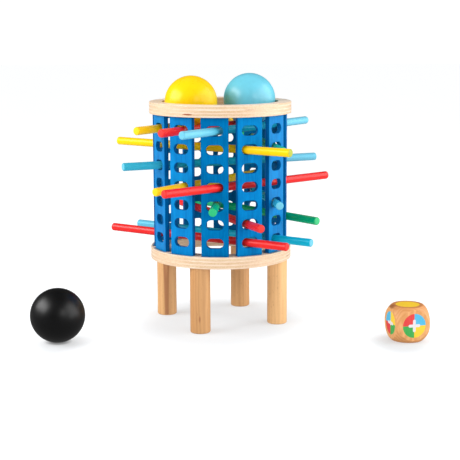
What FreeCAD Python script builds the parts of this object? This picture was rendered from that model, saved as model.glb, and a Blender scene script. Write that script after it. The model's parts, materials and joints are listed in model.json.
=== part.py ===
import FreeCAD, Part
import math
import os

# A marble drop stick game in wood. Twelve upright staves stand in a circle
# between two plywood rings, on four round legs. Painted sticks are pushed
# through slots in the staves, and the wooden balls dropped in from above lie
# on them until enough sticks have been pulled out. A die says which colour to
# pull. Millimetres, Z up: the game stands on z = 0, the tower's axis is the Z
# axis and the first stave faces -Y.

Vec = FreeCAD.Vector
UP = Vec(0, 0, 1)

# Sticks
stick_d = 6.2
stick_len = 165.0
stick_end_chamfer = 0.6
stick_rest_gap = 0.2          # from a stick to the bottom of its slots

# Staves
stave_count = 12
stave_thk = 3.6
stave_face_r = 51.5           # from the tower's axis to a stave's outer face
stave_rail = 3.75             # wood left on each side of a slot
stave_arris_round = 0.6
mortise_depth = 3.5
glue_gap = 0.05               # all round a glued stave end or leg spigot

# Slots
slot_rows = 7
slot_play = 1.2               # over a stick's height
slot_side_play = 0.6          # over a stick's width where it runs at the steepest slant
least_span = 3                # fewest staves from a stick's one slot to its other
slot_bridge = 6.6             # wood between one slot and the next
slot_end_rail = 6.3           # wood between a ring and the nearest slot

# Rings
ring_thk = 9.0
ring_outer_lip = 3.5          # past the staves' outer faces
top_inner_lip = 2.9           # inside the staves' inner faces
base_inner_lip = 7.9
ring_edge_round = 0.5

# Legs
leg_count = 4
leg_d = 15.4
leg_h = 50.5                  # clear height under the base ring
leg_inset = 0.8               # from the base ring's rim
leg_foot_round = 1.0
spigot_d = 7.0
spigot_h = 5.0

# Balls
ball_d = 40.4
ball_stick_gap = 0.15
ball_wall_gap = 0.3
black_ball_x = -114.0         # where it stands beside the tower
black_ball_y = -80.5

# Die: a cube whose edges and corners are turned off by a larger sphere
die_size = 26.4
die_round_d = 35.2
die_edge_round = 0.4
die_x = 143.1
die_y = -55.5
die_turn = 19.4               # degrees

# Sticks in place: name, row from the top, stave nearest the player, far stave,
# how far along each of the two slots the stick lies, and how far it stands out
# of the near stave. Staves are counted from 0 at the front towards +X.
stick_places = [
    ("yellow_stick_1", 1, 10, 6, -1.5, 1.5, 29.3),
    ("red_stick_1", 1, 11, 5, 0.5, -2.0, 26.3),
    ("light_blue_stick_1", 1, 0, 4, -1.0, -1.5, 37.8),
    ("yellow_stick_2", 2, 1, 9, -1.5, -1.5, 38.8),
    ("green_stick_1", 2, 2, 5, 0.0, 0.0, 29.2),
    ("light_blue_stick_2", 3, 10, 4, -1.5, 0.0, 30.8),
    ("yellow_stick_3", 4, 11, 5, 1.0, -1.0, 34.8),
    ("red_stick_2", 4, 0, 3, 0.0, 0.0, 48.2),
    ("green_stick_2", 5, 0, 6, 0.5, 0.5, 28.3),
    ("light_blue_stick_3", 5, 2, 5, 0.0, 0.0, 19.2),
    ("green_stick_3", 6, 3, 6, 0.0, 0.0, 37.2),
    ("red_stick_3", 6, 1, 7, -1.0, 0.5, 22.8),
    ("light_blue_stick_4", 7, 2, 8, 0.0, 0.5, 33.3),
    ("red_stick_4", 7, 1, 9, 0.5, 0.5, 33.3),
]

# The two sticks that each upper ball lies between, and the side it rolled to:
# -1 towards the player, 1 away
ball_troughs = [
    ("yellow_ball", "yellow_stick_1", "red_stick_1", -1),
    ("light_blue_ball", "red_stick_1", "light_blue_stick_1", 1),
]

# Worked out
stave_step = 2 * math.pi / stave_count
steepest_slant = math.pi / 2 - least_span * stave_step / 2
slot_h = stick_d + slot_play
slot_w = stick_d / math.cos(steepest_slant) + stave_thk * math.tan(steepest_slant) + slot_side_play
stave_w = slot_w + 2 * stave_rail
stave_mid_r = stave_face_r - stave_thk / 2
row_pitch = slot_h + slot_bridge
clear_h = slot_rows * slot_h + (slot_rows - 1) * slot_bridge + 2 * slot_end_rail
ring_r = stave_face_r + ring_outer_lip
top_hole_r = stave_face_r - stave_thk - top_inner_lip
base_hole_r = stave_face_r - stave_thk - base_inner_lip
base_bottom_z = leg_h
base_top_z = base_bottom_z + ring_thk
top_bottom_z = base_top_z + clear_h
top_row_z = top_bottom_z - slot_end_rail - slot_h / 2
leg_circle_r = ring_r - leg_inset - leg_d / 2
ball_r = ball_d / 2


def around(radius, turn, along=0.0, z=0.0):
    """A point at a radius from the axis, turned from the front towards +X, then moved along the tangent."""
    outward = Vec(math.sin(turn), -math.cos(turn), 0)
    tangent = Vec(math.cos(turn), math.sin(turn), 0)
    return outward * radius + tangent * along + UP * z


def turned(shape, turn):
    """The shape turned about the tower's axis."""
    copy = shape.copy()
    copy.rotate(Vec(0, 0, 0), UP, math.degrees(turn))
    return copy


def row_z(row):
    """The height of a row of slots, counted from 1 at the top."""
    return top_row_z - (row - 1) * row_pitch


def mortises(depth, mouth_z, down):
    """Cutters for the pockets that take the ends of the staves."""
    z = mouth_z - depth if down else mouth_z
    wide = stave_w + 2 * glue_gap
    thick = stave_thk + 2 * glue_gap
    corner = Vec(-wide / 2, -stave_face_r - glue_gap, z)
    pocket = Part.makeBox(wide, thick, depth, corner)
    return [turned(pocket, i * stave_step) for i in range(stave_count)]


def ring(hole_r, bottom_z):
    """A flat plywood ring with softened edges."""
    disc = Part.makeCylinder(ring_r, ring_thk, Vec(0, 0, bottom_z))
    hole = Part.makeCylinder(hole_r, ring_thk, Vec(0, 0, bottom_z))
    plain = disc.cut(hole)
    rims = [e for e in plain.Edges if len(e.Vertexes) == 1]
    return plain.makeFillet(ring_edge_round, rims)


def top_ring():
    return ring(top_hole_r, top_bottom_z).cut(mortises(mortise_depth, top_bottom_z, False))


def base_ring():
    """The lower ring, with pockets for the staves above and holes for the legs below."""
    pockets = mortises(mortise_depth, base_top_z, True)
    holes = [Part.makeCylinder(spigot_d / 2 + glue_gap, spigot_h, around(leg_circle_r, t, z=base_bottom_z))
             for t in leg_turns()]
    return ring(base_hole_r, base_bottom_z).cut(pockets + holes)


def slot_cutter(z):
    """A round-ended slot through the front stave."""
    end_r = slot_h / 2
    half = slot_w / 2 - end_r
    front = -stave_face_r - stave_thk

    def at(x, dz):
        return Vec(x, front, z + dz)

    edges = [
        Part.LineSegment(at(-half, -end_r), at(half, -end_r)).toShape(),
        Part.Arc(at(half, -end_r), at(half + end_r, 0), at(half, end_r)).toShape(),
        Part.LineSegment(at(half, end_r), at(-half, end_r)).toShape(),
        Part.Arc(at(-half, end_r), at(-half - end_r, 0), at(-half, -end_r)).toShape(),
    ]
    return Part.Face(Part.Wire(edges)).extrude(Vec(0, 3 * stave_thk, 0))


def front_stave():
    """The stave on the -Y side: a lath with rounded arrises and a row of slots."""
    end = mortise_depth - glue_gap
    lath = Part.makeBox(stave_w, stave_thk, clear_h + 2 * end,
                        Vec(-stave_w / 2, -stave_face_r, base_top_z - end))
    arrises = [e for e in lath.Edges if e.BoundBox.ZLength > clear_h]
    lath = lath.makeFillet(stave_arris_round, arrises)
    return lath.cut([slot_cutter(row_z(row)) for row in range(1, slot_rows + 1)])


def leg_turns():
    """The legs stand midway between two staves."""
    return [i * 2 * math.pi / leg_count - stave_step / 2 for i in range(leg_count)]


def leg(turn):
    """A dowel with a rounded foot and a spigot turned on its top."""
    foot = around(leg_circle_r, turn)
    dowel = Part.makeCylinder(leg_d / 2, leg_h, foot)
    bottom = [e for e in dowel.Edges if len(e.Vertexes) == 1 and e.BoundBox.ZMax < leg_h / 2]
    dowel = dowel.makeFillet(leg_foot_round, bottom)
    spigot = Part.makeCylinder(spigot_d / 2, spigot_h - glue_gap, foot + UP * leg_h)
    return dowel.fuse(spigot).removeSplitter()


def stick_line(place):
    """Where a stick starts, and the way it runs, from its slots."""
    name, row, near, far, near_shift, far_shift, stand_out = place
    z = row_z(row) - slot_h / 2 + stick_rest_gap + stick_d / 2
    near_point = around(stave_mid_r, near * stave_step, near_shift, z)
    far_point = around(stave_mid_r, far * stave_step, far_shift, z)
    way = (far_point - near_point).normalize()
    return near_point - way * stand_out, way


def stick(place):
    start, way = stick_line(place)
    rod = Part.makeCylinder(stick_d / 2, stick_len, start, way)
    rims = [e for e in rod.Edges if len(e.Vertexes) == 1 and isinstance(e.Curve, Part.Circle)]
    return rod.makeChamfer(stick_end_chamfer, rims)


def ball_seat(stick_a, stick_b, side):
    """Where a ball comes to lie: down between two level sticks, and against the top ring's wall."""
    lines = {place[0]: stick_line(place) for place in stick_places}
    (start_a, way_a), (start_b, way_b) = lines[stick_a], lines[stick_b]
    across_a = way_a.cross(UP)
    across_b = way_b.cross(UP)
    middle = across_a + across_b
    reach = (start_a.dot(across_a) + start_b.dot(across_b)) / middle.Length
    middle.normalize()
    roll_r = top_hole_r - ball_r - ball_wall_gap
    seat = middle * reach + UP.cross(middle) * side * math.sqrt(roll_r ** 2 - reach ** 2)
    seat.z = 0
    half_gap = abs((seat - start_a).dot(across_a))
    apart = ball_r + stick_d / 2 + ball_stick_gap
    return seat + UP * (start_a.z + math.sqrt(apart ** 2 - half_gap ** 2))


def ball(centre):
    return Part.makeSphere(ball_r, centre)


def die():
    """A cube with a sphere's roundness, so each face is a flat disc."""
    half = die_size / 2
    cube = Part.makeBox(die_size, die_size, die_size, Vec(-half, -half, -half))
    body = cube.common(Part.makeSphere(die_round_d / 2))
    rims = [e for e in body.Edges if isinstance(e.Curve, Part.Circle)]
    body = body.makeFillet(die_edge_round, rims)
    body.rotate(Vec(0, 0, 0), UP, die_turn)
    body.translate(Vec(die_x, die_y, half))
    return body


def all_pieces():
    """Every piece of the game by name."""
    pieces = {"top_ring": top_ring(), "base_ring": base_ring()}
    for i, turn in enumerate(leg_turns()):
        pieces[f"leg_{i + 1}"] = leg(turn)
    stave = front_stave()
    for i in range(stave_count):
        pieces[f"stave_{i + 1:02d}"] = turned(stave, i * stave_step)
    for place in stick_places:
        pieces[place[0]] = stick(place)
    for name, stick_a, stick_b, side in ball_troughs:
        pieces[name] = ball(ball_seat(stick_a, stick_b, side))
    pieces["black_ball"] = ball(Vec(black_ball_x, black_ball_y, ball_r))
    pieces["die"] = die()
    return pieces


os.makedirs("parts", exist_ok=True)
for name, shape in all_pieces().items():
    shape.exportStep(f"parts/{name}.step")
    print(f"{name:18s} solids {len(shape.Solids)}  volume {shape.Volume:10.1f}")
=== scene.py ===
import json
import math

import bmesh
import bpy
from mathutils import Matrix, Vector

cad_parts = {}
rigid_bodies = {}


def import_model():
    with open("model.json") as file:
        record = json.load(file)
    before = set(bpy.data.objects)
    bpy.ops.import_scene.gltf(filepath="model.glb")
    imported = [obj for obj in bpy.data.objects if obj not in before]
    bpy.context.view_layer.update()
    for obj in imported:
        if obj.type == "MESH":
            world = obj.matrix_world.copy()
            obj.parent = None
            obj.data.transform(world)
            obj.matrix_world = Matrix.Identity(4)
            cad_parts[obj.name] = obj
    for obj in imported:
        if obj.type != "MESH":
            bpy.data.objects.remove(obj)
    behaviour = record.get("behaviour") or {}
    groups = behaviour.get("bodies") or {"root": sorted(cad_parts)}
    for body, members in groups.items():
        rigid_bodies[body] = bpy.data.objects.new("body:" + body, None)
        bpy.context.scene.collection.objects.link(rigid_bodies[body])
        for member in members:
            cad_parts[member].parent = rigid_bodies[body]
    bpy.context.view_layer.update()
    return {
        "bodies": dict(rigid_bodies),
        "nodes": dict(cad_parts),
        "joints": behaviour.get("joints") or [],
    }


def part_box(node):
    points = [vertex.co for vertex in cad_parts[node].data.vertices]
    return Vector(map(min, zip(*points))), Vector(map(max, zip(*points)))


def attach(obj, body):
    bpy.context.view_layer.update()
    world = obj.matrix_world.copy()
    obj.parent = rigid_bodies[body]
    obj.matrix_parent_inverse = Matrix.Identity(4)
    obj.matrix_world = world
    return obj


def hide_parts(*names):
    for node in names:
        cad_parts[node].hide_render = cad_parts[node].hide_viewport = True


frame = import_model()


# The two rings are sawn from 9 mm birch plywood and sanded, so their edges show
# the layers. Pockets in their facing sides take the glued ends of the staves, and
# the lower ring has four blind holes underneath for the spigots of the legs.
ply_count = 7
ring_edge_round = 0.0005
ring_turn_steps = 192
glue_gap = 0.00005
leg_hole_d = 0.0071
leg_hole_depth = 0.005
leg_hole_steps = 48
stave_count = 12
leg_count = 4
stave_step = math.tau / stave_count
birch_fibre_len = 0.022
birch_fibre_w = 0.0006
birch_blotch = (0.03, 0.012, 0.002)
birch_relief = 0.00004
birch_pale = (240, 221, 201)
birch_tan = (230, 202, 172)
birch_end_pale = (227, 201, 165)
birch_end_dark = (211, 176, 136)
birch_glue = (164, 120, 74)
bore_shade_brown = (184, 138, 88)
knot_brown = (158, 78, 34)
# How far from a joint its glue line starts to fade and is gone, how strongly it shows, and how deep
# into the hole's wall its painted shade reaches.
glue_line_fade = (0.00002, 0.00012)
glue_line_share = 0.38
bore_brown_fade = (0.0002, 0.0006)


def colour(tone):
    """A colour as seen, 0 to 255, as the linear value that a shader takes."""
    seen = [channel / 255 for channel in tone]
    return [c / 12.92 if c <= 0.04045 else ((c + 0.055) / 1.055) ** 2.4 for c in seen] + [1.0]


def add(tree, kind, feeds, **settings):
    """A shader node. Each feed is a plain value, another node or one of its outputs."""
    node = tree.nodes.new("ShaderNode" + kind)
    for name, value in settings.items():
        setattr(node, name, value)
    for socket, value in feeds.items():
        if isinstance(value, bpy.types.Node):
            value = value.outputs[0]
        if isinstance(value, bpy.types.NodeSocket):
            tree.links.new(value, node.inputs[socket])
        else:
            node.inputs[socket].default_value = value
    return node


def sum_of(tree, operation, a, b=0.0, c=0.0):
    """What an operation makes of up to three numbers at each point of a surface."""
    return add(tree, "Math", {0: a, 1: b, 2: c}, operation=operation)


def plus(tree, a, b, share):
    """A number with a share of another one added."""
    return sum_of(tree, "MULTIPLY_ADD", b, share, a)


def mixed(tree, share, a, b, way="MIX"):
    """Two colours, mixed by a share from 0 to 1."""
    node = add(tree, "Mix", {0: share, 6: a, 7: b}, data_type="RGBA", blend_type=way)
    return node.outputs[2]


def between(tree, value, low, high, to_low=0.0, to_high=1.0):
    """A value's run from low to high, eased onto another run."""
    feeds = {0: value, 1: low, 2: high, 3: to_low, 4: to_high}
    return add(tree, "MapRange", feeds, interpolation_type="SMOOTHSTEP")


def own_place(tree):
    """Where a point lies in its piece's own space."""
    return add(tree, "TexCoord", {}).outputs["Object"]


def squareness(tree, axis):
    """How squarely a surface faces along an axis, either way, from 0 to 1."""
    facing = add(tree, "SeparateXYZ", {0: add(tree, "TexCoord", {}).outputs["Normal"]})
    return sum_of(tree, "ABSOLUTE", facing.outputs[axis])


def length_of(tree, vector):
    """How long a vector is."""
    return add(tree, "VectorMath", {0: vector}, operation="LENGTH").outputs["Value"]


def reach_from(tree, at, place, size):
    """How far a point lies from a place, counted in sizes. An endless size leaves its axis out."""
    away = add(tree, "VectorMath", {0: at, 1: place}, operation="SUBTRACT")
    scaled = add(tree, "VectorMath", {0: away, 1: [1 / s for s in size]}, operation="MULTIPLY")
    return length_of(tree, scaled)


def point_value(tree, name):
    """A value that the points of the mesh carry under this name."""
    return add(tree, "Attribute", {}, attribute_name=name).outputs["Fac"]


def mark_points(mesh, name, values):
    """Gives each point of a mesh a value that its finish reads by this name."""
    mesh.attributes.new(name, "FLOAT", "POINT").data.foreach_set("value", values)


def grain(tree, streak, detail=3.0, shift=0.0):
    """Wood fibres: noise whose streaks have these lengths along X, Y and Z."""
    fine = [1 / length for length in streak]
    scaled = add(tree, "VectorMath", {0: own_place(tree), 1: fine}, operation="MULTIPLY")
    w = sum_of(tree, "ADD", point_value(tree, "grain_seed"), shift)
    feeds = {"Vector": scaled, "W": w, "Scale": 1.0, "Detail": detail, "Roughness": 0.6}
    return add(tree, "TexNoise", feeds, noise_dimensions="4D")


def new_finish(name):
    """A material, its node tree and its surface shader."""
    material = bpy.data.materials.new(name)
    material.use_nodes = True
    tree = material.node_tree
    return material, tree, tree.nodes["Principled BSDF"]


def lay_on(tree, surface, tone, gloss, height, depth):
    """Gives a surface its colour, its roughness and a relief this deep in metres."""
    tree.links.new(tone, surface.inputs["Base Color"])
    tree.links.new(gloss.outputs[0], surface.inputs["Roughness"])
    bump = add(tree, "Bump", {"Strength": 1.0, "Distance": depth, "Height": height})
    tree.links.new(bump.outputs[0], surface.inputs["Normal"])


def sealer(surface, weight, roughness):
    """A thin clear coat over the wood."""
    surface.inputs["Coat Weight"].default_value = weight
    surface.inputs["Coat Roughness"].default_value = roughness


def fibre_bloom(surface, weight, roughness):
    """The pale bloom that sanded fibres show at a shallow angle."""
    surface.inputs["Sheen Weight"].default_value = weight
    surface.inputs["Sheen Roughness"].default_value = roughness


def plywood(name, ring_thk, hole_r, bore_shade_share, marks):
    """Birch layers whose fibres run along X and Y by turns, with small marks in the edge."""
    material, tree, surface = new_finish(name)
    at = own_place(tree)
    ply_thk = ring_thk / ply_count
    skin = ply_thk / 20
    height = add(tree, "SeparateXYZ", {0: at}).outputs["Z"]
    depth = add(tree, "Clamp", {0: height, 1: skin, 2: ring_thk - skin})
    layer = sum_of(tree, "FLOOR", sum_of(tree, "DIVIDE", depth, ply_thk))
    across = sum_of(tree, "MODULO", layer, 2.0)
    along_x = grain(tree, (birch_fibre_len, birch_fibre_w, birch_fibre_w))
    along_y = grain(tree, (birch_fibre_w, birch_fibre_len, birch_fibre_w), shift=3.0)
    fibre = mixed(tree, across, along_x.outputs[0], along_y.outputs[0])
    blotch = grain(tree, birch_blotch, detail=2.0, shift=7.0)
    facing_x = sum_of(tree, "POWER", squareness(tree, "X"), 1.6)
    facing_y = sum_of(tree, "POWER", squareness(tree, "Y"), 1.6)
    end_grain = mixed(tree, across, facing_x, facing_y)
    streak = between(tree, fibre, 0.32, 0.68)
    long_side = mixed(tree, streak, colour(birch_tan), colour(birch_pale))
    end_side = mixed(tree, streak, colour(birch_end_dark), colour(birch_end_pale))
    wood = mixed(tree, end_grain, long_side, end_side)
    shade = between(tree, blotch, 0.3, 0.7, 0.0, 0.35)
    wood = mixed(tree, shade, wood, colour(birch_tan), way="MULTIPLY")
    # The glue between two layers is a hair line, on the sawn edge only.
    from_joint = sum_of(tree, "PINGPONG", depth, ply_thk / 2)
    line = between(tree, from_joint, *glue_line_fade, glue_line_share, 0.0)
    on_edge = between(tree, squareness(tree, "Z"), 0.3, 0.8, 1.0, 0.0)
    wood = mixed(tree, sum_of(tree, "MULTIPLY", line, on_edge), wood, colour(birch_glue))
    # The hole's wall is painted darker, a painted shade, in the top ring only.
    from_axis = reach_from(tree, at, (0, 0, 0), (1, 1, math.inf))
    from_bore = sum_of(tree, "SUBTRACT", from_axis, hole_r)
    painted_bore_shade = between(tree, from_bore, *bore_brown_fade, bore_shade_share, 0.0)
    wood = mixed(tree, sum_of(tree, "MULTIPLY", painted_bore_shade, on_edge), wood, colour(bore_shade_brown))
    for place, size, share in marks:
        ragged = plus(tree, reach_from(tree, at, place, size), fibre, 0.7)
        wood = mixed(tree, between(tree, ragged, 0.95, 1.45, share, 0.0), wood, colour(knot_brown))
    gloss = between(tree, fibre, 0.2, 0.8, 0.62, 0.46)
    lay_on(tree, surface, wood, gloss, fibre, birch_relief)
    sealer(surface, weight=0.35, roughness=0.4)
    fibre_bloom(surface, weight=0.17, roughness=0.4)
    return material


def eased(corners, closed=False, steps=5):
    """An outline through (radius, height, ease) corners, each one rounded by its ease."""
    points = []
    ends = (0, len(corners) - 1)
    for i, (r, z, ease) in enumerate(corners):
        here = Vector((r, z))
        if ease == 0 or (i in ends and not closed):
            points.append(here)
            continue
        back = (Vector(corners[i - 1][:2]) - here).normalized() * ease
        ahead = (Vector(corners[(i + 1) % len(corners)][:2]) - here).normalized() * ease
        for k in range(steps + 1):
            turn = math.pi / 2 * k / steps
            points.append(here + back * (1 - math.sin(turn)) + ahead * (1 - math.cos(turn)))
    return points


def welded(shape, within):
    """Joins the points that lie this close together, and faces every side outward."""
    bmesh.ops.remove_doubles(shape, verts=shape.verts, dist=within)
    bmesh.ops.recalc_face_normals(shape, faces=shape.faces)


def mesh_from(shape, name):
    """A named mesh from a shape, which is then put away."""
    mesh = bpy.data.meshes.new(name)
    shape.to_mesh(mesh)
    shape.free()
    return mesh


def turned(name, outline, steps, closed=False):
    """A mesh turned about Z from an outline of (radius, height) points."""
    shape = bmesh.new()
    points = [shape.verts.new((p[0], 0, p[1])) for p in outline]
    pairs = list(zip(points, points[1:])) + ([(points[-1], points[0])] if closed else [])
    edges = [shape.edges.new(pair) for pair in pairs]
    bmesh.ops.spin(shape, geom=points + edges, axis=(0, 0, 1), cent=(0, 0, 0), angle=math.tau,
                   steps=steps, use_merge=True)
    welded(shape, 1e-7)
    return mesh_from(shape, name)


def piece_of(name, mesh, materials, seed=0.0, at=(0, 0, 0), rotation=None):
    """An object from a mesh, smooth, with its materials and its own place in the grain."""
    mesh.shade_smooth()
    for material in materials:
        mesh.materials.append(material)
    mark_points(mesh, "grain_seed", [seed] * len(mesh.vertices))
    piece = bpy.data.objects.new(name, mesh)
    bpy.context.scene.collection.objects.link(piece)
    piece.matrix_world = Matrix.Translation(at) @ (rotation or Matrix.Identity(4))
    return piece


def flats_kept(piece):
    """Shades the large flat faces flat, and the small rounded ones round."""
    piece.modifiers.new("flats", "WEIGHTED_NORMAL").keep_sharp = True


def cut_out(piece, cutter):
    """Takes the cutter's space out of a piece, and the cutter off the bench."""
    saw = piece.modifiers.new("saw", "BOOLEAN")
    saw.operation = "DIFFERENCE"
    saw.solver = "EXACT"
    saw.object = cutter
    view = bpy.context.evaluated_depsgraph_get()
    sawn = bpy.data.meshes.new_from_object(piece.evaluated_get(view))
    piece.modifiers.clear()
    piece.data = sawn
    bpy.data.objects.remove(cutter)


def pocket_cutter():
    """The twelve staves' own space with the glue's gap round it, as one cutter."""
    low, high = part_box("stave_01")
    centre = (low + high) / 2
    size = high - low + Vector((1, 1, 1)) * 2 * glue_gap
    shape = bmesh.new()
    for i in range(stave_count):
        turn = Matrix.Rotation(i * stave_step, 4, "Z")
        placed = turn @ Matrix.Translation(centre) @ Matrix.Diagonal(size).to_4x4()
        bmesh.ops.create_cube(shape, size=1, matrix=placed)
    return piece_of("pockets", mesh_from(shape, "pockets"), [])


def drill_leg_holes(piece, under_z, ring_thk):
    """Four blind holes in a ring's underside, one over each leg."""
    hole_r = leg_hole_d / 2
    outline = [(0, -ring_thk), (hole_r, -ring_thk), (hole_r, leg_hole_depth), (0, leg_hole_depth)]
    for i in range(leg_count):
        low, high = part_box(f"leg_{i + 1}")
        centre = (low + high) / 2
        drill = turned("drill", outline, leg_hole_steps)
        cut_out(piece, piece_of("drill", drill, [], at=(centre.x, centre.y, under_z)))


def hole_radius(node):
    """The radius of a ring's hole, from the frame."""
    return min(math.hypot(v.co.x, v.co.y) for v in frame["nodes"][node].data.vertices)


def on_rim(node, turn, height):
    """A point on a ring's outer edge, turned from the front in degrees, in the ring's own place."""
    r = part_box(node)[1].x
    return (r * math.sin(math.radians(turn)), -r * math.cos(math.radians(turn)), height)


def ring(node, bore_shade_share, seed, marks, drilled):
    """One ring with its pockets, and with the legs' holes where it is drilled for them."""
    low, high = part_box(node)
    thk = high.z - low.z
    hole_r = hole_radius(node)
    section = ((hole_r, 0), (high.x, 0), (high.x, thk), (hole_r, thk))
    outline = eased([(r, z, ring_edge_round) for r, z in section], closed=True)
    mesh = turned(node, outline, ring_turn_steps, closed=True)
    finish = plywood(node + "_birch", thk, hole_r, bore_shade_share, marks)
    piece = piece_of(node + "_plywood", mesh, [finish], seed, (0, 0, low.z))
    cut_out(piece, pocket_cutter())
    if drilled:
        drill_leg_holes(piece, low.z, thk)
    flats_kept(piece)
    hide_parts(node)
    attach(piece, "tower")


# Each mark in the edge of a ring: its place, its size along X, Y and Z, and how
# strongly it shows.
ring("top_ring", bore_shade_share=0.6, seed=1.7, drilled=False, marks=[
    (on_rim("top_ring", -21.3, 0.0022), (0.0046, 0.0045, 0.0007), 1.0),
    (on_rim("top_ring", 28.0, 0.0056), (0.0046, 0.0040, 0.0005), 0.35),
])
ring("base_ring", bore_shade_share=0.0, seed=5.2, drilled=True, marks=[
    (on_rim("base_ring", 74.0, 0.0036), (0.0020, 0.0045, 0.0005), 0.5),
    (on_rim("base_ring", 196.0, 0.0064), (0.0042, 0.0030, 0.0005), 0.7),
])


# The four legs are beech dowels, 15 mm thick, with a rounded foot and a spigot
# turned on the upper end. Each spigot is glued into its hole under the base ring,
# and the dowel's shoulder sits against the ring.
leg_spigot_d = 0.007
leg_foot_round = 0.001
leg_shoulder_round = 0.0002
leg_spigot_round = 0.0005
leg_turn_steps = 64
leg_fibre = (0.0007, 0.0007, 0.03)
leg_fleck = (0.0005, 0.0005, 0.0028)
leg_bend = (0.009, 0.009, 0.05)
leg_relief = 0.00004
beech_light = (236, 187, 128)
beech_mid = (220, 167, 106)
beech_brown = (202, 148, 92)
beech_red = (160, 96, 58)
beech_fleck = (158, 100, 52)
beech_end = (180, 128, 78)
# The legs show the years of the tree: where its heart lay beside a leg and how much that leans along
# it, how wide a year is and how far it sways, between which radii the wood gets lighter toward the
# bark, where one leg's dark band runs, and how large a dark eye is. Each leg is turned so that this
# lighter wood lies partly on its lit side, a painted highlight as well as real sapwood.
leg_heart = (0.0105, 0.0, 0.0)
leg_heart_lean = 0.05
leg_year = 0.0018
leg_year_sway = 0.003
leg_sapwood_and_highlight_r = (0.009, 0.0182)
leg_band_r = 0.0182
leg_band_fade = (0.00002, 0.0002)
leg_eye_size = (0.0009, 0.0009, 0.0030)
# Each leg: how light it is, how far it is turned about itself in degrees, the
# strength of a dark band in it, and a small dark eye's turn and height, if it has one.
leg_looks = [
    (0.03, 165.0, 0.0, (2.0, 0.0115)),
    (0.8, 150.0, 0.0, None),
    (0.2, 40.0, 0.0, None),
    (0.3, 95.0, 0.7, None),
]


def growth(tree, at, heart, lean, bend, sway, year, share):
    """Rings round a tree's heart: how far out a point lies, and how much late wood it shows."""
    ring_r = reach_from(tree, at, heart, (1, 1, 1 / lean))
    in_year = sum_of(tree, "PINGPONG", plus(tree, ring_r, bend, sway), year / 2)
    return ring_r, between(tree, in_year, 0.0, year / 2, share, 0.0)


def beech(name, lightness, band, eye_at):
    """Upright fibres and years with short dark flecks, and rings of growth on the sawn ends."""
    material, tree, surface = new_finish(name)
    at = own_place(tree)
    fibres = grain(tree, leg_fibre, detail=4.0, shift=2.0)
    flecks = grain(tree, leg_fleck, detail=1.0, shift=5.0)
    bend = grain(tree, leg_bend, detail=1.0, shift=6.0)
    ring_r, late = growth(tree, at, leg_heart, leg_heart_lean, bend, leg_year_sway, leg_year, share=0.3)
    # Lighter wood toward the bark: real sapwood, and also a painted highlight where a leg's turn puts
    # it on the lit side.
    sapwood_and_highlight = between(tree, ring_r, *leg_sapwood_and_highlight_r, lightness - 0.1, lightness + 0.25)
    wood = mixed(tree, sapwood_and_highlight, colour(beech_brown), colour(beech_light))
    darker = mixed(tree, lightness, colour(beech_fleck), colour(beech_mid))
    wood = mixed(tree, late, wood, darker)
    wood = mixed(tree, between(tree, fibres, 0.5, 0.8, 0.0, 0.42), wood, colour(beech_fleck))
    wood = mixed(tree, between(tree, flecks, 0.66, 0.76, 0.0, 0.7), wood, colour(beech_fleck))
    from_band = sum_of(tree, "ABSOLUTE", sum_of(tree, "SUBTRACT", ring_r, leg_band_r))
    wood = mixed(tree, between(tree, from_band, *leg_band_fade, band, 0.0), wood, colour(beech_red))
    if eye_at:
        reach = reach_from(tree, at, eye_at, leg_eye_size)
        wood = mixed(tree, between(tree, reach, 0.3, 1.2, 0.7, 0.0), wood, colour(beech_red))
    on_end = between(tree, squareness(tree, "Z"), 0.8, 0.95)
    wood = mixed(tree, sum_of(tree, "MULTIPLY", on_end, 0.7), wood, colour(beech_end))
    gloss = between(tree, fibres, 0.2, 0.8, 0.4, 0.55)
    lay_on(tree, surface, wood, gloss, fibres, leg_relief)
    sealer(surface, weight=0.2, roughness=0.3)
    return material


def leg_outline(leg_r, shoulder_z, top_z):
    """Half a leg's profile from the foot up, with its shoulder and its spigot."""
    spigot_r = leg_spigot_d / 2
    return eased([(0, 0, 0), (leg_r, 0, leg_foot_round), (leg_r, shoulder_z, leg_shoulder_round),
                  (spigot_r, shoulder_z, 0), (spigot_r, top_z, leg_spigot_round), (0, top_z, 0)])


for i, (lightness, roll, band, eye) in enumerate(leg_looks):
    low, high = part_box(f"leg_{i + 1}")
    centre = (low + high) / 2
    leg_r = (high.x - low.x) / 2
    outline = leg_outline(leg_r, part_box("base_ring")[0].z, high.z)
    eye_at = None
    if eye:
        turn = math.radians(eye[0] - roll)
        eye_at = (leg_r * math.sin(turn), -leg_r * math.cos(turn), eye[1])
    finish = beech(f"leg_{i + 1}_beech", lightness, band, eye_at)
    leg = piece_of(f"leg_{i + 1}_dowel", turned("leg", outline, leg_turn_steps), [finish],
                   seed=10.0 + 1.37 * i, at=(centre.x, centre.y, 0),
                   rotation=Matrix.Rotation(math.radians(roll), 4, "Z"))
    flats_kept(leg)
    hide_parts(f"leg_{i + 1}")
    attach(leg, "tower")


# The twelve staves are thin laths, stained blue right through the surface, each
# with seven round-ended slots. Their ends are glued into the pockets of the two
# rings, and every edge has been eased with sandpaper.
slot_rows = 7
slot_h = 0.0074
slot_bridge = 0.0066
slot_end_rail = 0.0063
stave_rail = 0.00375
stave_edge_round = 0.00045
stave_edge_steps = 3
stave_edge_turn = 40
slot_quarter_steps = 6
slot_flat_steps = 4
stave_fibre = (0.0005, 0.0005, 0.014)
stave_cloud = (0.006, 0.006, 0.018)
stave_speck = (0.0004, 0.0004, 0.0007)
stave_relief = 0.00005
stain_deep = (0, 97, 162)
stain_mid = (0, 117, 183)
stain_bright = (0, 138, 202)
# The stain on the slot walls and edges: end grain takes it darker, and it is painted darker still as
# painted shade in the slots.
stain_edge_and_shade = (0, 69, 127)
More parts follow.
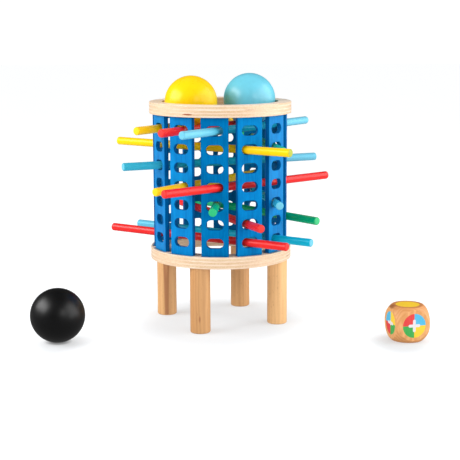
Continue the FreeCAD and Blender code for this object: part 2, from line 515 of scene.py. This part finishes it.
# How much each stave's stain is lightened or darkened, from the front one round to the right: painted
# light, lighter on the side staves that the softboxes light and darker on the front one.
stave_painted_light = (0.86, 1.06, 1.12, 1.05, 1.0, 1.1, 0.95, 1.0, 1.1, 1.05, 1.12, 1.12)


def sheen(surface, level, tone, share):
    """How strongly a paint shines, and how much of its own colour the sheen takes."""
    surface.inputs["Specular IOR Level"].default_value = level
    surface.inputs["Specular Tint"].default_value = [1 - share * (1 - c) for c in colour(tone)]


def blue_stain(name, deep, mid, bright, shine, bloom):
    """Strong blue stain: the fibres show as fine upright streaks, and it lies a little unevenly."""
    material, tree, surface = new_finish(name)
    fibres = grain(tree, stave_fibre, detail=4.0)
    cloud = grain(tree, stave_cloud, detail=3.0, shift=4.0)
    speck = grain(tree, stave_speck, detail=1.0, shift=9.0)
    stain = mixed(tree, between(tree, cloud, 0.3, 0.7), colour(deep), colour(mid))
    stain = mixed(tree, between(tree, fibres, 0.35, 0.75, 0.0, 0.55), stain, colour(bright))
    stain = mixed(tree, between(tree, speck, 0.62, 0.75, 0.0, 0.35), stain, colour(deep))
    # Each stave's stain is scaled by its painted light.
    painted_light = {0: stain, "Scale": point_value(tree, "painted_stave_light")}
    stain = add(tree, "VectorMath", painted_light, operation="SCALE").outputs[0]
    gloss = between(tree, cloud, 0.2, 0.8, 0.42, 0.58)
    lay_on(tree, surface, stain, gloss, fibres, stave_relief)
    sheen(surface, shine, bright, 1.0)
    fibre_bloom(surface, weight=bloom, roughness=0.25)
    return material


def slot_pairs(half_flat, slot_r, half_wide, half_high):
    """Points round a slot, each with its partner round the piece of lath that holds it."""
    right = []
    half_way = slot_quarter_steps // 2
    for k in range(-slot_quarter_steps, slot_quarter_steps + 1):
        turn = math.pi / 2 * k / slot_quarter_steps
        on_slot = (half_flat + slot_r * math.cos(turn), slot_r * math.sin(turn))
        if abs(k) <= half_way:
            on_edge = (half_wide, half_high * k / half_way)
        else:
            out = (slot_quarter_steps - abs(k)) / (slot_quarter_steps - half_way)
            on_edge = (half_flat + (half_wide - half_flat) * out, math.copysign(half_high, k))
        right.append((on_slot, on_edge))
    top = []
    for j in range(1, slot_flat_steps):
        x = half_flat - 2 * half_flat * j / slot_flat_steps
        top.append(((x, slot_r), (x, half_high)))
    upper_half = right + top
    return upper_half + [((-s[0], -s[1]), (-e[0], -e[1])) for s, e in upper_half]


def lath():
    """The outer face of a stave, seen from the front, with its slots left open."""
    low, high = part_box("stave_01")
    upper_shoulder_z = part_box("top_ring")[0].z
    lower_shoulder_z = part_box("base_ring")[1].z
    half_flat = high.x - stave_rail - slot_h / 2
    half_high = (slot_h + slot_bridge) / 2
    top_slot_z = upper_shoulder_z - slot_end_rail - slot_h / 2
    pairs = slot_pairs(half_flat, slot_h / 2, high.x, half_high)
    shape = bmesh.new()
    for row in range(slot_rows):
        z = top_slot_z - row * 2 * half_high
        rim = [shape.verts.new((s[0], 0, z + s[1])) for s, e in pairs]
        edge = [shape.verts.new((e[0], 0, z + e[1])) for s, e in pairs]
        for k in range(len(pairs)):
            nxt = (k + 1) % len(pairs)
            shape.faces.new((rim[k], edge[k], edge[nxt], rim[nxt]))
    # The plain ends, up to the rings and on into their pockets, go on from the slots' columns.
    columns = sorted({round(e[0], 7) for s, e in pairs if e[1] >= half_high - 1e-9})
    top_end = (top_slot_z + half_high, upper_shoulder_z, high.z)
    low_end = (top_slot_z - (slot_rows - 1) * 2 * half_high - half_high, lower_shoulder_z, low.z)
    for heights in (top_end, low_end):
        for za, zb in zip(heights, heights[1:]):
            for xa, xb in zip(columns, columns[1:]):
                corners = [(xa, 0, za), (xb, 0, za), (xb, 0, zb), (xa, 0, zb)]
                shape.faces.new([shape.verts.new(c) for c in corners])
    welded(shape, 1e-6)
    if shape.faces[0].normal.y > 0:
        bmesh.ops.reverse_faces(shape, faces=shape.faces)
    return mesh_from(shape, "lath")


stave_low, stave_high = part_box("stave_01")
stave_face = blue_stain("stave_blue_stain", stain_deep, stain_mid, stain_bright, shine=0.46, bloom=0.14)
stave_edge = blue_stain("stave_edge_stain_and_shade", stain_edge_and_shade, stain_deep, stain_mid, shine=0.15, bloom=0.0)
for i in range(stave_count):
    turn = Matrix.Rotation(i * stave_step, 4, "Z")
    stave = piece_of(f"stave_{i + 1:02d}_lath", lath(), [stave_face, stave_edge],
                     seed=20.0 + 2.11 * i, at=turn @ Vector((0, stave_low.y, 0)), rotation=turn)
    mark_points(stave.data, "painted_stave_light", [stave_painted_light[i]] * len(stave.data.vertices))
    thickness = stave.modifiers.new("thickness", "SOLIDIFY")
    thickness.thickness = stave_high.y - stave_low.y
    thickness.offset = -1
    thickness.material_offset_rim = 1
    sanded = stave.modifiers.new("sanded_edges", "BEVEL")
    sanded.width = stave_edge_round
    sanded.segments = stave_edge_steps
    sanded.limit_method = "ANGLE"
    sanded.angle_limit = math.radians(stave_edge_turn)
    flats_kept(stave)
    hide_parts(f"stave_{i + 1:02d}")
    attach(stave, "tower")


# The fourteen sticks are 6 mm birch dowels, sawn to length, eased at the ends and
# dipped in paint. The sawn ends drink more of it, so they dry paler and duller.
# They are only pushed through the slots, and each lies loose on the slots' edges.
stick_end_chamfer = 0.0006
stick_end_round = 0.0003
stick_turn_steps = 40
stick_rings = 24
stick_out_of_round = 0.00004
stick_waves = (31, 57)
stick_fibre = (0.0006, 0.0006, 0.02)
stick_cloud = (0.005, 0.005, 0.02)
stick_pore = (0.0004, 0.0004, 0.004)
stick_relief = 0.00006
stick_shine = 0.6
# How far each stick is rolled on from the one before it, in radians.
stick_roll = 0.8
# Each paint: its tone, the tone of its dry ends, how much of its tone the sheen takes,
# and how much light its thickest places keep.
stick_paints = {
    "yellow": {"tone": (255, 206, 0), "dry": (154, 176, 74), "own_sheen": 0.75, "depth": 0.97},
    "red": {"tone": (240, 36, 34), "dry": (226, 44, 36), "own_sheen": 0.4, "depth": 0.86},
    "light_blue": {"tone": (4, 178, 210), "dry": (114, 190, 214), "own_sheen": 0.75, "depth": 0.86},
    "green": {"tone": (0, 180, 114), "dry": (66, 190, 122), "own_sheen": 0.45, "depth": 0.9},
}
# How much paler, toward their ends' tone, some sticks are at their near and their far end, and the
# shares of a stick's half length between which it comes in.
stick_paleness = {
    "light_blue_stick_1": (0.85, 0.95),
    "light_blue_stick_2": (0.2, 0.9),
    "light_blue_stick_3": (0.2, 0.2),
    "light_blue_stick_4": (0.0, 0.7),
}
stick_pale_from = 0.40
stick_pale_full = 0.62
# How much of the dry tone these sticks' sawn ends show. The others show all of it.
stick_thirst = {"yellow_stick_1": 0.15, "yellow_stick_3": 0.15, "green_stick_2": 0.35}


def stick_reach(node, way):
    """How long a stick is along its own axis."""
    along = [v.co.dot(way) for v in frame["nodes"][node].data.vertices]
    return max(along) - min(along)


pull_ways = {joint["child"]: Vector(joint["axis"]) for joint in frame["joints"]}
sticks = [body for body in frame["bodies"] if "_stick_" in body]
stick_len = stick_reach(sticks[0], pull_ways[sticks[0]])


def deeper(tone, share):
    """A colour where its coat is thick, with this share of its light."""
    return [c * share for c in colour(tone)[:3]] + [1.0]


def stick_finish(name, tone, dry, own_sheen, depth):
    """Paint over fine fibres, with paler ends where it has sunk in."""
    material, tree, surface = new_finish(name)
    along = add(tree, "SeparateXYZ", {0: own_place(tree)}).outputs["Z"]
    fibres = grain(tree, stick_fibre, detail=3.0)
    cloud = grain(tree, stick_cloud, detail=2.0, shift=4.0)
    pores = grain(tree, stick_pore, detail=1.0, shift=8.0)
    deep = deeper(tone, depth)
    coat = mixed(tree, between(tree, cloud, 0.3, 0.7), deep, colour(tone))
    coat = mixed(tree, between(tree, fibres, 0.55, 0.8, 0.0, 0.08), coat, colour(dry))
    coat = mixed(tree, point_value(tree, "paleness"), coat, colour(dry))
    from_end = sum_of(tree, "SUBTRACT", stick_len / 2, sum_of(tree, "ABSOLUTE", along))
    on_end = between(tree, from_end, stick_end_chamfer * 0.3, stick_end_chamfer, 1.0, 0.0)
    thirsty = mixed(tree, point_value(tree, "thirst"), colour(tone), colour(dry))
    sunk = mixed(tree, between(tree, pores, 0.4, 0.7, 0.0, 0.4), thirsty, deep)
    coat = mixed(tree, on_end, coat, sunk)
    gloss = plus(tree, between(tree, cloud, 0.2, 0.8, 0.22, 0.32), on_end, 0.25)
    lay_on(tree, surface, coat, gloss, plus(tree, fibres, pores, on_end), stick_relief)
    sheen(surface, stick_shine, tone, own_sheen)
    return material


def dowel(stick_r, length, seed):
    """A dowel along Z whose diameter wanders a hair's breadth, as sanding leaves it."""
    half = length / 2
    ends = [(0, -half, 0), (stick_r - stick_end_chamfer, -half, stick_end_round),
            (stick_r, stick_end_chamfer - half, stick_end_round)]
    side = [(stick_r, half * (2 * k / stick_rings - 1), 0) for k in range(1, stick_rings)]
    corners = ends + side + [(r, -z, ease) for r, z, ease in reversed(ends)]
    mesh = turned("dowel", eased(corners, steps=3), stick_turn_steps)
    for vertex in mesh.vertices:
        turn = math.atan2(vertex.co.y, vertex.co.x)
        oval = math.sin(2 * turn + stick_waves[0] * vertex.co.z + seed)
        lobes = math.sin(3 * turn - stick_waves[1] * vertex.co.z + 2 * seed)
        slimmer = 1 - stick_out_of_round * (2 + oval + lobes) / 4 / stick_r
        vertex.co.x *= slimmer
        vertex.co.y *= slimmer
    return mesh


def outer_share(along):
    """How much of the dry tone has come in at a place along a stick, which goes from -1 to 1."""
    return min(max((abs(along) - stick_pale_from) / (stick_pale_full - stick_pale_from), 0.0), 1.0)


stick_finishes = {}
for tint, paint in stick_paints.items():
    stick_finishes[tint] = stick_finish(f"{tint}_stick_paint", **paint)
for i, node in enumerate(sticks):
    low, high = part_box(node)
    tint = node.split("_stick_")[0]
    lying = pull_ways[node].to_track_quat("Z", "Y").to_matrix().to_4x4()
    rolled = lying @ Matrix.Rotation(stick_roll * i, 4, "Z")
    mesh = dowel((high.z - low.z) / 2, stick_len, 1.3 * i)
    stick = piece_of(node + "_dowel", mesh, [stick_finishes[tint]],
                     seed=50.0 + 1.73 * i, at=(low + high) / 2, rotation=rolled)
    near_pale, far_pale = stick_paleness.get(node, (0.0, 0.0))
    along = [2 * vertex.co.z / stick_len for vertex in mesh.vertices]
    paleness = [outer_share(z) * (near_pale if z > 0 else far_pale) for z in along]
    mark_points(mesh, "paleness", paleness)
    mark_points(mesh, "thirst", [stick_thirst.get(node, 1.0)] * len(along))
    flats_kept(stick)
    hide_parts(node)
    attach(stick, node)


# The balls are turned from beech, 40 mm across, and lacquered. The lathe leaves a
# tiny flat at each pole where the ball was parted off. Two of them lie on the top
# sticks inside the upper ring, and the black one waits beside the tower.
ball_pole_flat_r = 0.0011
ball_pole_face_share = 0.8
ball_pole_round = 0.0004
ball_turn_steps = 96
ball_outline_steps = 64
ball_flow = (0.008, 0.008, 0.010)
ball_fibre = (0.0009, 0.0009, 0.012)
ball_fibre_share = 0.12
ball_relief = 0.000012
# Each lacquer, and which way the ball's poles point, turned from the right in radians.
ball_lacquers = {
    "yellow_ball": {"tone": (255, 209, 0), "roughness": 0.28, "shine": 0.45, "own_sheen": 0.5},
    "light_blue_ball": {"tone": (106, 199, 222), "roughness": 0.31, "shine": 0.60, "own_sheen": 0.0},
    "black_ball": {"tone": (4, 4, 5), "roughness": 0.38, "shine": 0.44, "own_sheen": 0.0},
}
ball_headings = {"yellow_ball": 0.5, "light_blue_ball": -0.9, "black_ball": 0.0}


def lacquer(name, tone, roughness, shine, own_sheen):
    """Lacquer over turned wood: a little uneven, with the fibres just felt through it."""
    material, tree, surface = new_finish(name)
    flow = grain(tree, ball_flow, detail=2.0)
    fibres = grain(tree, ball_fibre, detail=3.0, shift=3.0)
    deep = deeper(tone, 0.93)
    coat = mixed(tree, between(tree, flow, 0.3, 0.7), deep, colour(tone))
    coat = mixed(tree, between(tree, fibres, 0.6, 0.85, 0.0, 0.06), coat, deep)
    gloss = between(tree, flow, 0.2, 0.8, roughness - 0.02, roughness + 0.03)
    lay_on(tree, surface, coat, gloss, plus(tree, flow, fibres, ball_fibre_share), ball_relief)
    sheen(surface, shine, tone, own_sheen)
    return material


def ball_outline(ball_r):
    """Half round a ball from pole to pole, with the flats that the parting tool left."""
    flat_z = math.sqrt(ball_r ** 2 - ball_pole_flat_r ** 2)
    face_r = ball_pole_flat_r * ball_pole_face_share
    first = math.asin((ball_pole_flat_r + ball_pole_round) / ball_r)
    arc = []
    for k in range(ball_outline_steps + 1):
        turn = first + (math.pi - 2 * first) * k / ball_outline_steps
        arc.append((ball_r * math.sin(turn), -ball_r * math.cos(turn)))
    return [(0, -flat_z), (face_r, -flat_z)] + arc + [(face_r, flat_z), (0, flat_z)]


for i, (node, look) in enumerate(ball_lacquers.items()):
    slot = node.replace("_ball", "_lacquer")
    low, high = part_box(node)
    poles = Matrix.Rotation(ball_headings[node], 4, "Z") @ Matrix.Rotation(math.pi / 2, 4, "Y")
    mesh = turned("ball", ball_outline((high.z - low.z) / 2), ball_turn_steps)
    ball = piece_of(node + "_turned", mesh, [lacquer(slot, **look)],
                    seed=80.0 + 3.1 * i, at=(low + high) / 2, rotation=poles)
    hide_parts(node)
    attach(ball, node)


# The die is a cube of bare wood tumbled until its corners are parts of a ball, so
# that each side is a flat disc. Coloured discs are printed on the sides: four of
# them plain, and two in quarters with a white cross for a free choice.
die_turn = 19.4
die_round_d = 0.0352
die_rim_ease = 0.0003
die_ring_steps = 64
die_zone_steps = 7
die_flat_shares = (0.35, 0.7, 1.0)
die_fibre = (0.0005, 0.0005, 0.012)
die_bend = (0.010, 0.010, 0.022)
die_relief = 0.00005
die_heart = (0.018, 0.052, 0.0)
die_heart_lean = 0.06
die_year = 0.0019
die_year_sway = 0.007
die_bark_at = (-0.0125, 0.0002, 0.0124)
die_bark_size = (0.0036, 0.0042, 0.0017)
die_wood_light = (228, 168, 106)
die_wood_mid = (210, 143, 80)
die_wood_dark = (192, 120, 62)
die_bark_brown = (140, 80, 38)
print_red = (220, 40, 52)
print_light_blue = (50, 180, 222)
print_yellow = (244, 202, 34)
print_green = (0, 168, 74)
print_white = (218, 217, 222)
# How far the print fades at a disc's edge and runs along the fibres there, how far it
# fades between two quarters and inside and outside a cross, and how near to a flat
# side it stays.
print_edge = 0.00012
print_run = 0.0002
print_quarter_edge = 0.00005
print_cross_edge = (0.00008, 0.00004)
print_depth = 0.0004
print_cross_half_w = 0.0011
# Each side: the way it faces, the viewer's right on it, its colours, from the upper left
# one round to the lower left one, its print's radius and its cross's half lengths.
die_sides = [
    ((0, -1, 0), (1, 0, 0), [print_red, print_light_blue, print_yellow, print_green], 0.0090,
     (0.0046, 0.0047)),
    ((-1, 0, 0), (0, -1, 0), [print_light_blue, print_yellow, print_green, print_red], 0.0086,
     (0.0048, 0.0018)),
    ((0, 0, 1), (1, 0, 0), [print_yellow], 0.0088, None),
    ((0, 0, -1), (1, 0, 0), [print_green], 0.0088, None),
    ((1, 0, 0), (0, 1, 0), [print_red], 0.0088, None),
    ((0, 1, 0), (-1, 0, 0), [print_light_blue], 0.0088, None),
]


def along_way(tree, at, way):
    """How far a point lies along a direction."""
    return add(tree, "VectorMath", {0: at, 1: way}, operation="DOT_PRODUCT").outputs["Value"]


def quartered_ink(tree, u, v, tones, arms):
    """Four quarters of ink, from the upper left one round, under a white cross with round ends."""
    on_right = between(tree, u, -print_quarter_edge, print_quarter_edge)
    on_top = between(tree, v, -print_quarter_edge, print_quarter_edge)
    upper = mixed(tree, on_right, colour(tones[0]), colour(tones[1]))
    lower = mixed(tree, on_right, colour(tones[3]), colour(tones[2]))
    ink = mixed(tree, on_top, lower, upper)
    from_arms = []
    for run, side, half_long in ((u, v, arms[0]), (v, u, arms[1])):
        straight = half_long - print_cross_half_w
        past = sum_of(tree, "SUBTRACT", sum_of(tree, "ABSOLUTE", run), straight)
        past = sum_of(tree, "MAXIMUM", past, 0.0)
        from_arms.append(length_of(tree, add(tree, "CombineXYZ", {0: past, 1: side})))
    nearest = sum_of(tree, "MINIMUM", *from_arms)
    inner = print_cross_half_w - print_cross_edge[0]
    outer = print_cross_half_w + print_cross_edge[1]
    return mixed(tree, between(tree, nearest, inner, outer, 1.0, 0.0), ink, colour(print_white))


def printed_wood(name, half):
    """Bare wood whose years run level with the front, under ink that lets a little of it show."""
    material, tree, surface = new_finish(name)
    at = own_place(tree)
    fibres = grain(tree, die_fibre, detail=3.0)
    bend = grain(tree, die_bend, detail=1.0, shift=6.0)
    late = growth(tree, at, die_heart, die_heart_lean, bend, die_year_sway, die_year, share=0.9)[1]
    wood = mixed(tree, late, colour(die_wood_light), colour(die_wood_mid))
    wood = mixed(tree, between(tree, fibres, 0.5, 0.8, 0.0, 0.55), wood, colour(die_wood_dark))
    # Darker on the top and bottom: end grain, and on the top a painted shade as well, where little
    # light falls from above.
    on_end = sum_of(tree, "POWER", squareness(tree, "Z"), 2.0)
    wood = mixed(tree, sum_of(tree, "MULTIPLY", on_end, 0.85), wood, colour(die_wood_dark))
    bark = between(tree, reach_from(tree, at, die_bark_at, die_bark_size), 0.4, 1.4, 0.8, 0.0)
    wood = mixed(tree, bark, wood, colour(die_bark_brown))
    ink_share = between(tree, fibres, 0.3, 0.8, 0.97, 0.88)
    inked = 0.0
    for facing, right, tones, print_r, arms in die_sides:
        u = along_way(tree, at, right)
        v = along_way(tree, at, Vector(facing).cross(Vector(right)))
        from_middle = length_of(tree, add(tree, "CombineXYZ", {0: u, 1: v}))
        run = plus(tree, from_middle, fibres, print_run)
        disc = between(tree, run, print_r, print_r + print_edge, 1.0, 0.0)
        flat = sum_of(tree, "GREATER_THAN", along_way(tree, at, facing), half - print_depth)
        ink = quartered_ink(tree, u, v, tones, arms) if arms else colour(tones[0])
        here = sum_of(tree, "MULTIPLY", disc, flat)
        inked = sum_of(tree, "MAXIMUM", here, inked)
        wood = mixed(tree, sum_of(tree, "MULTIPLY", here, ink_share), wood, ink)
    gloss = plus(tree, between(tree, fibres, 0.2, 0.8, 0.48, 0.6), inked, -0.12)
    lay_on(tree, surface, wood, gloss, fibres, die_relief)
    return material


def die_side(shape, facing, right, print_r, half, round_r):
    """One flat disc, its eased rim and the part of the ball round it, out to the cube's edges."""
    facing = Vector(facing)
    right = Vector(right)
    up = facing.cross(right)
    flat_r = math.sqrt(round_r ** 2 - half ** 2)
    flat_end = flat_r - die_rim_ease
    ball_start = math.asin(flat_r / round_r) + die_rim_ease / round_r
    flat_radii = [share * print_r for share in die_flat_shares] + [(print_r + flat_end) / 2, flat_end]
    spokes = []
    for k in range(die_ring_steps):
        turn = math.tau * k / die_ring_steps
        out = right * math.cos(turn) + up * math.sin(turn)
        flat = [facing * half + out * r for r in flat_radii]
        ball_end = math.atan(1 / max(abs(math.cos(turn)), abs(math.sin(turn))))
        ball = []
        for step in range(die_zone_steps + 1):
            tilt = ball_start + (ball_end - ball_start) * step / die_zone_steps
            ball.append((facing * math.cos(tilt) + out * math.sin(tilt)) * round_r)
        sharp = facing * half + out * flat_r
        eased_rim = flat[-1] * 0.25 + sharp * 0.5 + ball[0] * 0.25
        spokes.append([shape.verts.new(point) for point in flat + [eased_rim] + ball])
    centre = shape.verts.new(facing * half)
    for k, spoke in enumerate(spokes):
        following = spokes[(k + 1) % die_ring_steps]
        shape.faces.new((centre, spoke[0], following[0]))
        for step in range(len(spoke) - 1):
            shape.faces.new((spoke[step], spoke[step + 1], following[step + 1], following[step]))


def die_mesh(half, round_r):
    """The six sides of the die, joined along the cube's edges."""
    shape = bmesh.new()
    for facing, right, tones, print_r, arms in die_sides:
        die_side(shape, facing, right, print_r, half, round_r)
    welded(shape, 1e-6)
    return mesh_from(shape, "die")


die_low, die_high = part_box("die")
die_half = (die_high.z - die_low.z) / 2
die = piece_of("die_printed", die_mesh(die_half, die_round_d / 2), [printed_wood("die_wood", die_half)],
               seed=95.0, at=(die_low + die_high) / 2,
               rotation=Matrix.Rotation(math.radians(die_turn), 4, "Z"))
flats_kept(die)
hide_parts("die")
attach(die, "die")


# The table is a sheet of white acrylic that the pieces only stand on. It glows evenly white. Round the
# pieces and at the black ball's foot its glow is turned down as a painted shadow, which stays pale. In
# glossy paint it shows only as a dim glow, a painted reflection.
table_r = 6.0
table_edge_steps = 128
table_under_feet = 0.0001
table_white = (161, 164, 167)
table_dull = (158, 161, 164)
table_tooth = (0.004, 0.004, 0.004)
table_glow_far = 0.79
ball_painted_shadow_glow = 0.175
table_in_gloss = 0.22
# Each painted shadow patch: what stands on it, its middle from there, its half width and half depth,
# how far out it starts to brighten, and how it glows.
table_painted_shadows = [
    ("top_ring", (0.0, -0.014), (0.090, 0.118), 0.45, 0.50),
    ("black_ball", (0.003, -0.012), (0.028, 0.044), 0.15, 0.50),
    ("die", (-0.0045, -0.014), (0.034, 0.048), 0.25, 0.43),
]
# How far from the black ball's foot its painted contact shadow is darkest, and where it is gone.
ball_painted_shadow_dark_r = 0.0045
ball_painted_shadow_clear_r = 0.0150


def foot_of(node, offset=(0.0, 0.0)):
    """The point of the table under a piece's middle, or this far from it."""
    low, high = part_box(node)
    return ((low.x + high.x) / 2 + offset[0], (low.y + high.y) / 2 + offset[1], 0)


def glowing_acrylic():
    """White acrylic that glows, with painted shadows round the feet, and shows as a dim painted
    reflection in a glossy paint.
    """
    material, tree, surface = new_finish("glowing_acrylic")
    tooth = grain(tree, table_tooth, detail=2.0)
    white = mixed(tree, tooth, colour(table_white), colour(table_dull))
    tree.links.new(white, surface.inputs["Base Color"])
    surface.inputs["Roughness"].default_value = 0.8
    surface.inputs["Specular IOR Level"].default_value = 0.1
    at = own_place(tree)
    glow = table_glow_far
    # Round each piece the glow drops to a painted shadow patch.
    for node, offset, half, starts, shadow_glow in table_painted_shadows:
        reach = reach_from(tree, at, foot_of(node, offset), (*half, math.inf))
        patch = between(tree, reach, starts, 1.0, shadow_glow, table_glow_far)
        glow = sum_of(tree, "MINIMUM", glow, patch)
    # At the black ball's foot the glow drops further, a painted contact shadow.
    from_ball = reach_from(tree, at, foot_of("black_ball"), (1, 1, 1))
    painted_ball_shadow = between(tree, from_ball, ball_painted_shadow_dark_r, ball_painted_shadow_clear_r,
                         ball_painted_shadow_glow, table_glow_far)
    glow = sum_of(tree, "MINIMUM", glow, painted_ball_shadow)
    surface.inputs["Emission Color"].default_value = (1, 1, 1, 1)
    tree.links.new(glow.outputs[0], surface.inputs["Emission Strength"])
    ray = add(tree, "LightPath", {})
    dim = add(tree, "Emission", {"Strength": table_in_gloss})
    seen = add(tree, "MixShader", {0: ray.outputs["Is Glossy Ray"], 1: surface, 2: dim})
    tree.links.new(seen.outputs[0], tree.nodes["Material Output"].inputs["Surface"])
    material.cycles.emission_sampling = "NONE"
    return material


def table_sheet():
    """The sheet under all the pieces, a hair below their feet."""
    shape = bmesh.new()
    bmesh.ops.create_circle(shape, cap_ends=True, radius=table_r, segments=table_edge_steps)
    return piece_of("table", mesh_from(shape, "table"), [glowing_acrylic()], at=(0, 0, -table_under_feet))


table_sheet()


# The studio is white all round. A large softbox stands right of the table, a smaller
# one left of it, and a weak one behind the camera, to the right.
studio_light = 0.6
studio_in_gloss = 0.07
studio_behind = 1.1
studio_middle = (0, 0, 0.10)


def softbox(name, place, width, height, power):
    """A lit cloth box that faces the middle of the tower."""
    light = bpy.data.lights.new(name, "AREA")
    light.shape = "RECTANGLE"
    light.size = width
    light.size_y = height
    light.energy = power
    holder = bpy.data.objects.new(name, light)
    bpy.context.scene.collection.objects.link(holder)
    holder.location = place
    holder.rotation_mode = "QUATERNION"
    holder.rotation_quaternion = (Vector(place) - Vector(studio_middle)).to_track_quat("Z", "Y")
    holder.visible_camera = False


softbox("right_softbox", (0.86, -0.06, 0.40), width=1.2, height=1.0, power=9.5)
softbox("left_softbox", (-0.74, -0.26, 0.50), width=0.8, height=0.45, power=7.4)
softbox("front_softbox", (0.80, -1.28, 0.62), width=0.45, height=0.6, power=3.2)

world = bpy.data.worlds.new("studio")
world.use_nodes = True
world.cycles.sampling_method = "NONE"
bpy.context.scene.world = world
tree = world.node_tree
tree.nodes.clear()
ray = add(tree, "LightPath", {})
lit = add(tree, "Background", {"Color": (1, 1, 1, 1), "Strength": studio_light})
in_gloss = add(tree, "Background", {"Color": (1, 1, 1, 1), "Strength": studio_in_gloss})
behind = add(tree, "Background", {"Color": (1, 1, 1, 1), "Strength": studio_behind})
light_or_gloss = add(tree, "MixShader", {0: ray.outputs["Is Glossy Ray"], 1: lit, 2: in_gloss})
all_rays = add(tree, "MixShader", {0: ray.outputs["Is Camera Ray"], 1: light_or_gloss, 2: behind})
add(tree, "OutputWorld", {"Surface": all_rays})
bpy.context.scene.view_settings.view_transform = "Standard"


# The camera stands about a metre in front of the tower, a little to its right, and
# looks slightly down.
camera_at = (0.07854, -0.91687, 0.23224)
camera_heading = 4.445
camera_down = 9.941
camera_roll = -0.1945
camera_lens = 92.74
camera_sensor_w = 36.0
camera_clip = (0.01, 100.0)

camera = bpy.data.objects.new("camera", bpy.data.cameras.new("camera"))
bpy.context.scene.collection.objects.link(camera)
camera.data.sensor_width = camera_sensor_w
camera.data.lens = camera_lens
camera.data.clip_start, camera.data.clip_end = camera_clip
camera.matrix_world = (Matrix.Translation(camera_at)
                       @ Matrix.Rotation(math.radians(camera_heading), 4, "Z")
                       @ Matrix.Rotation(math.radians(90 - camera_down), 4, "X")
                       @ Matrix.Rotation(math.radians(camera_roll), 4, "Z"))
bpy.context.scene.camera = camera
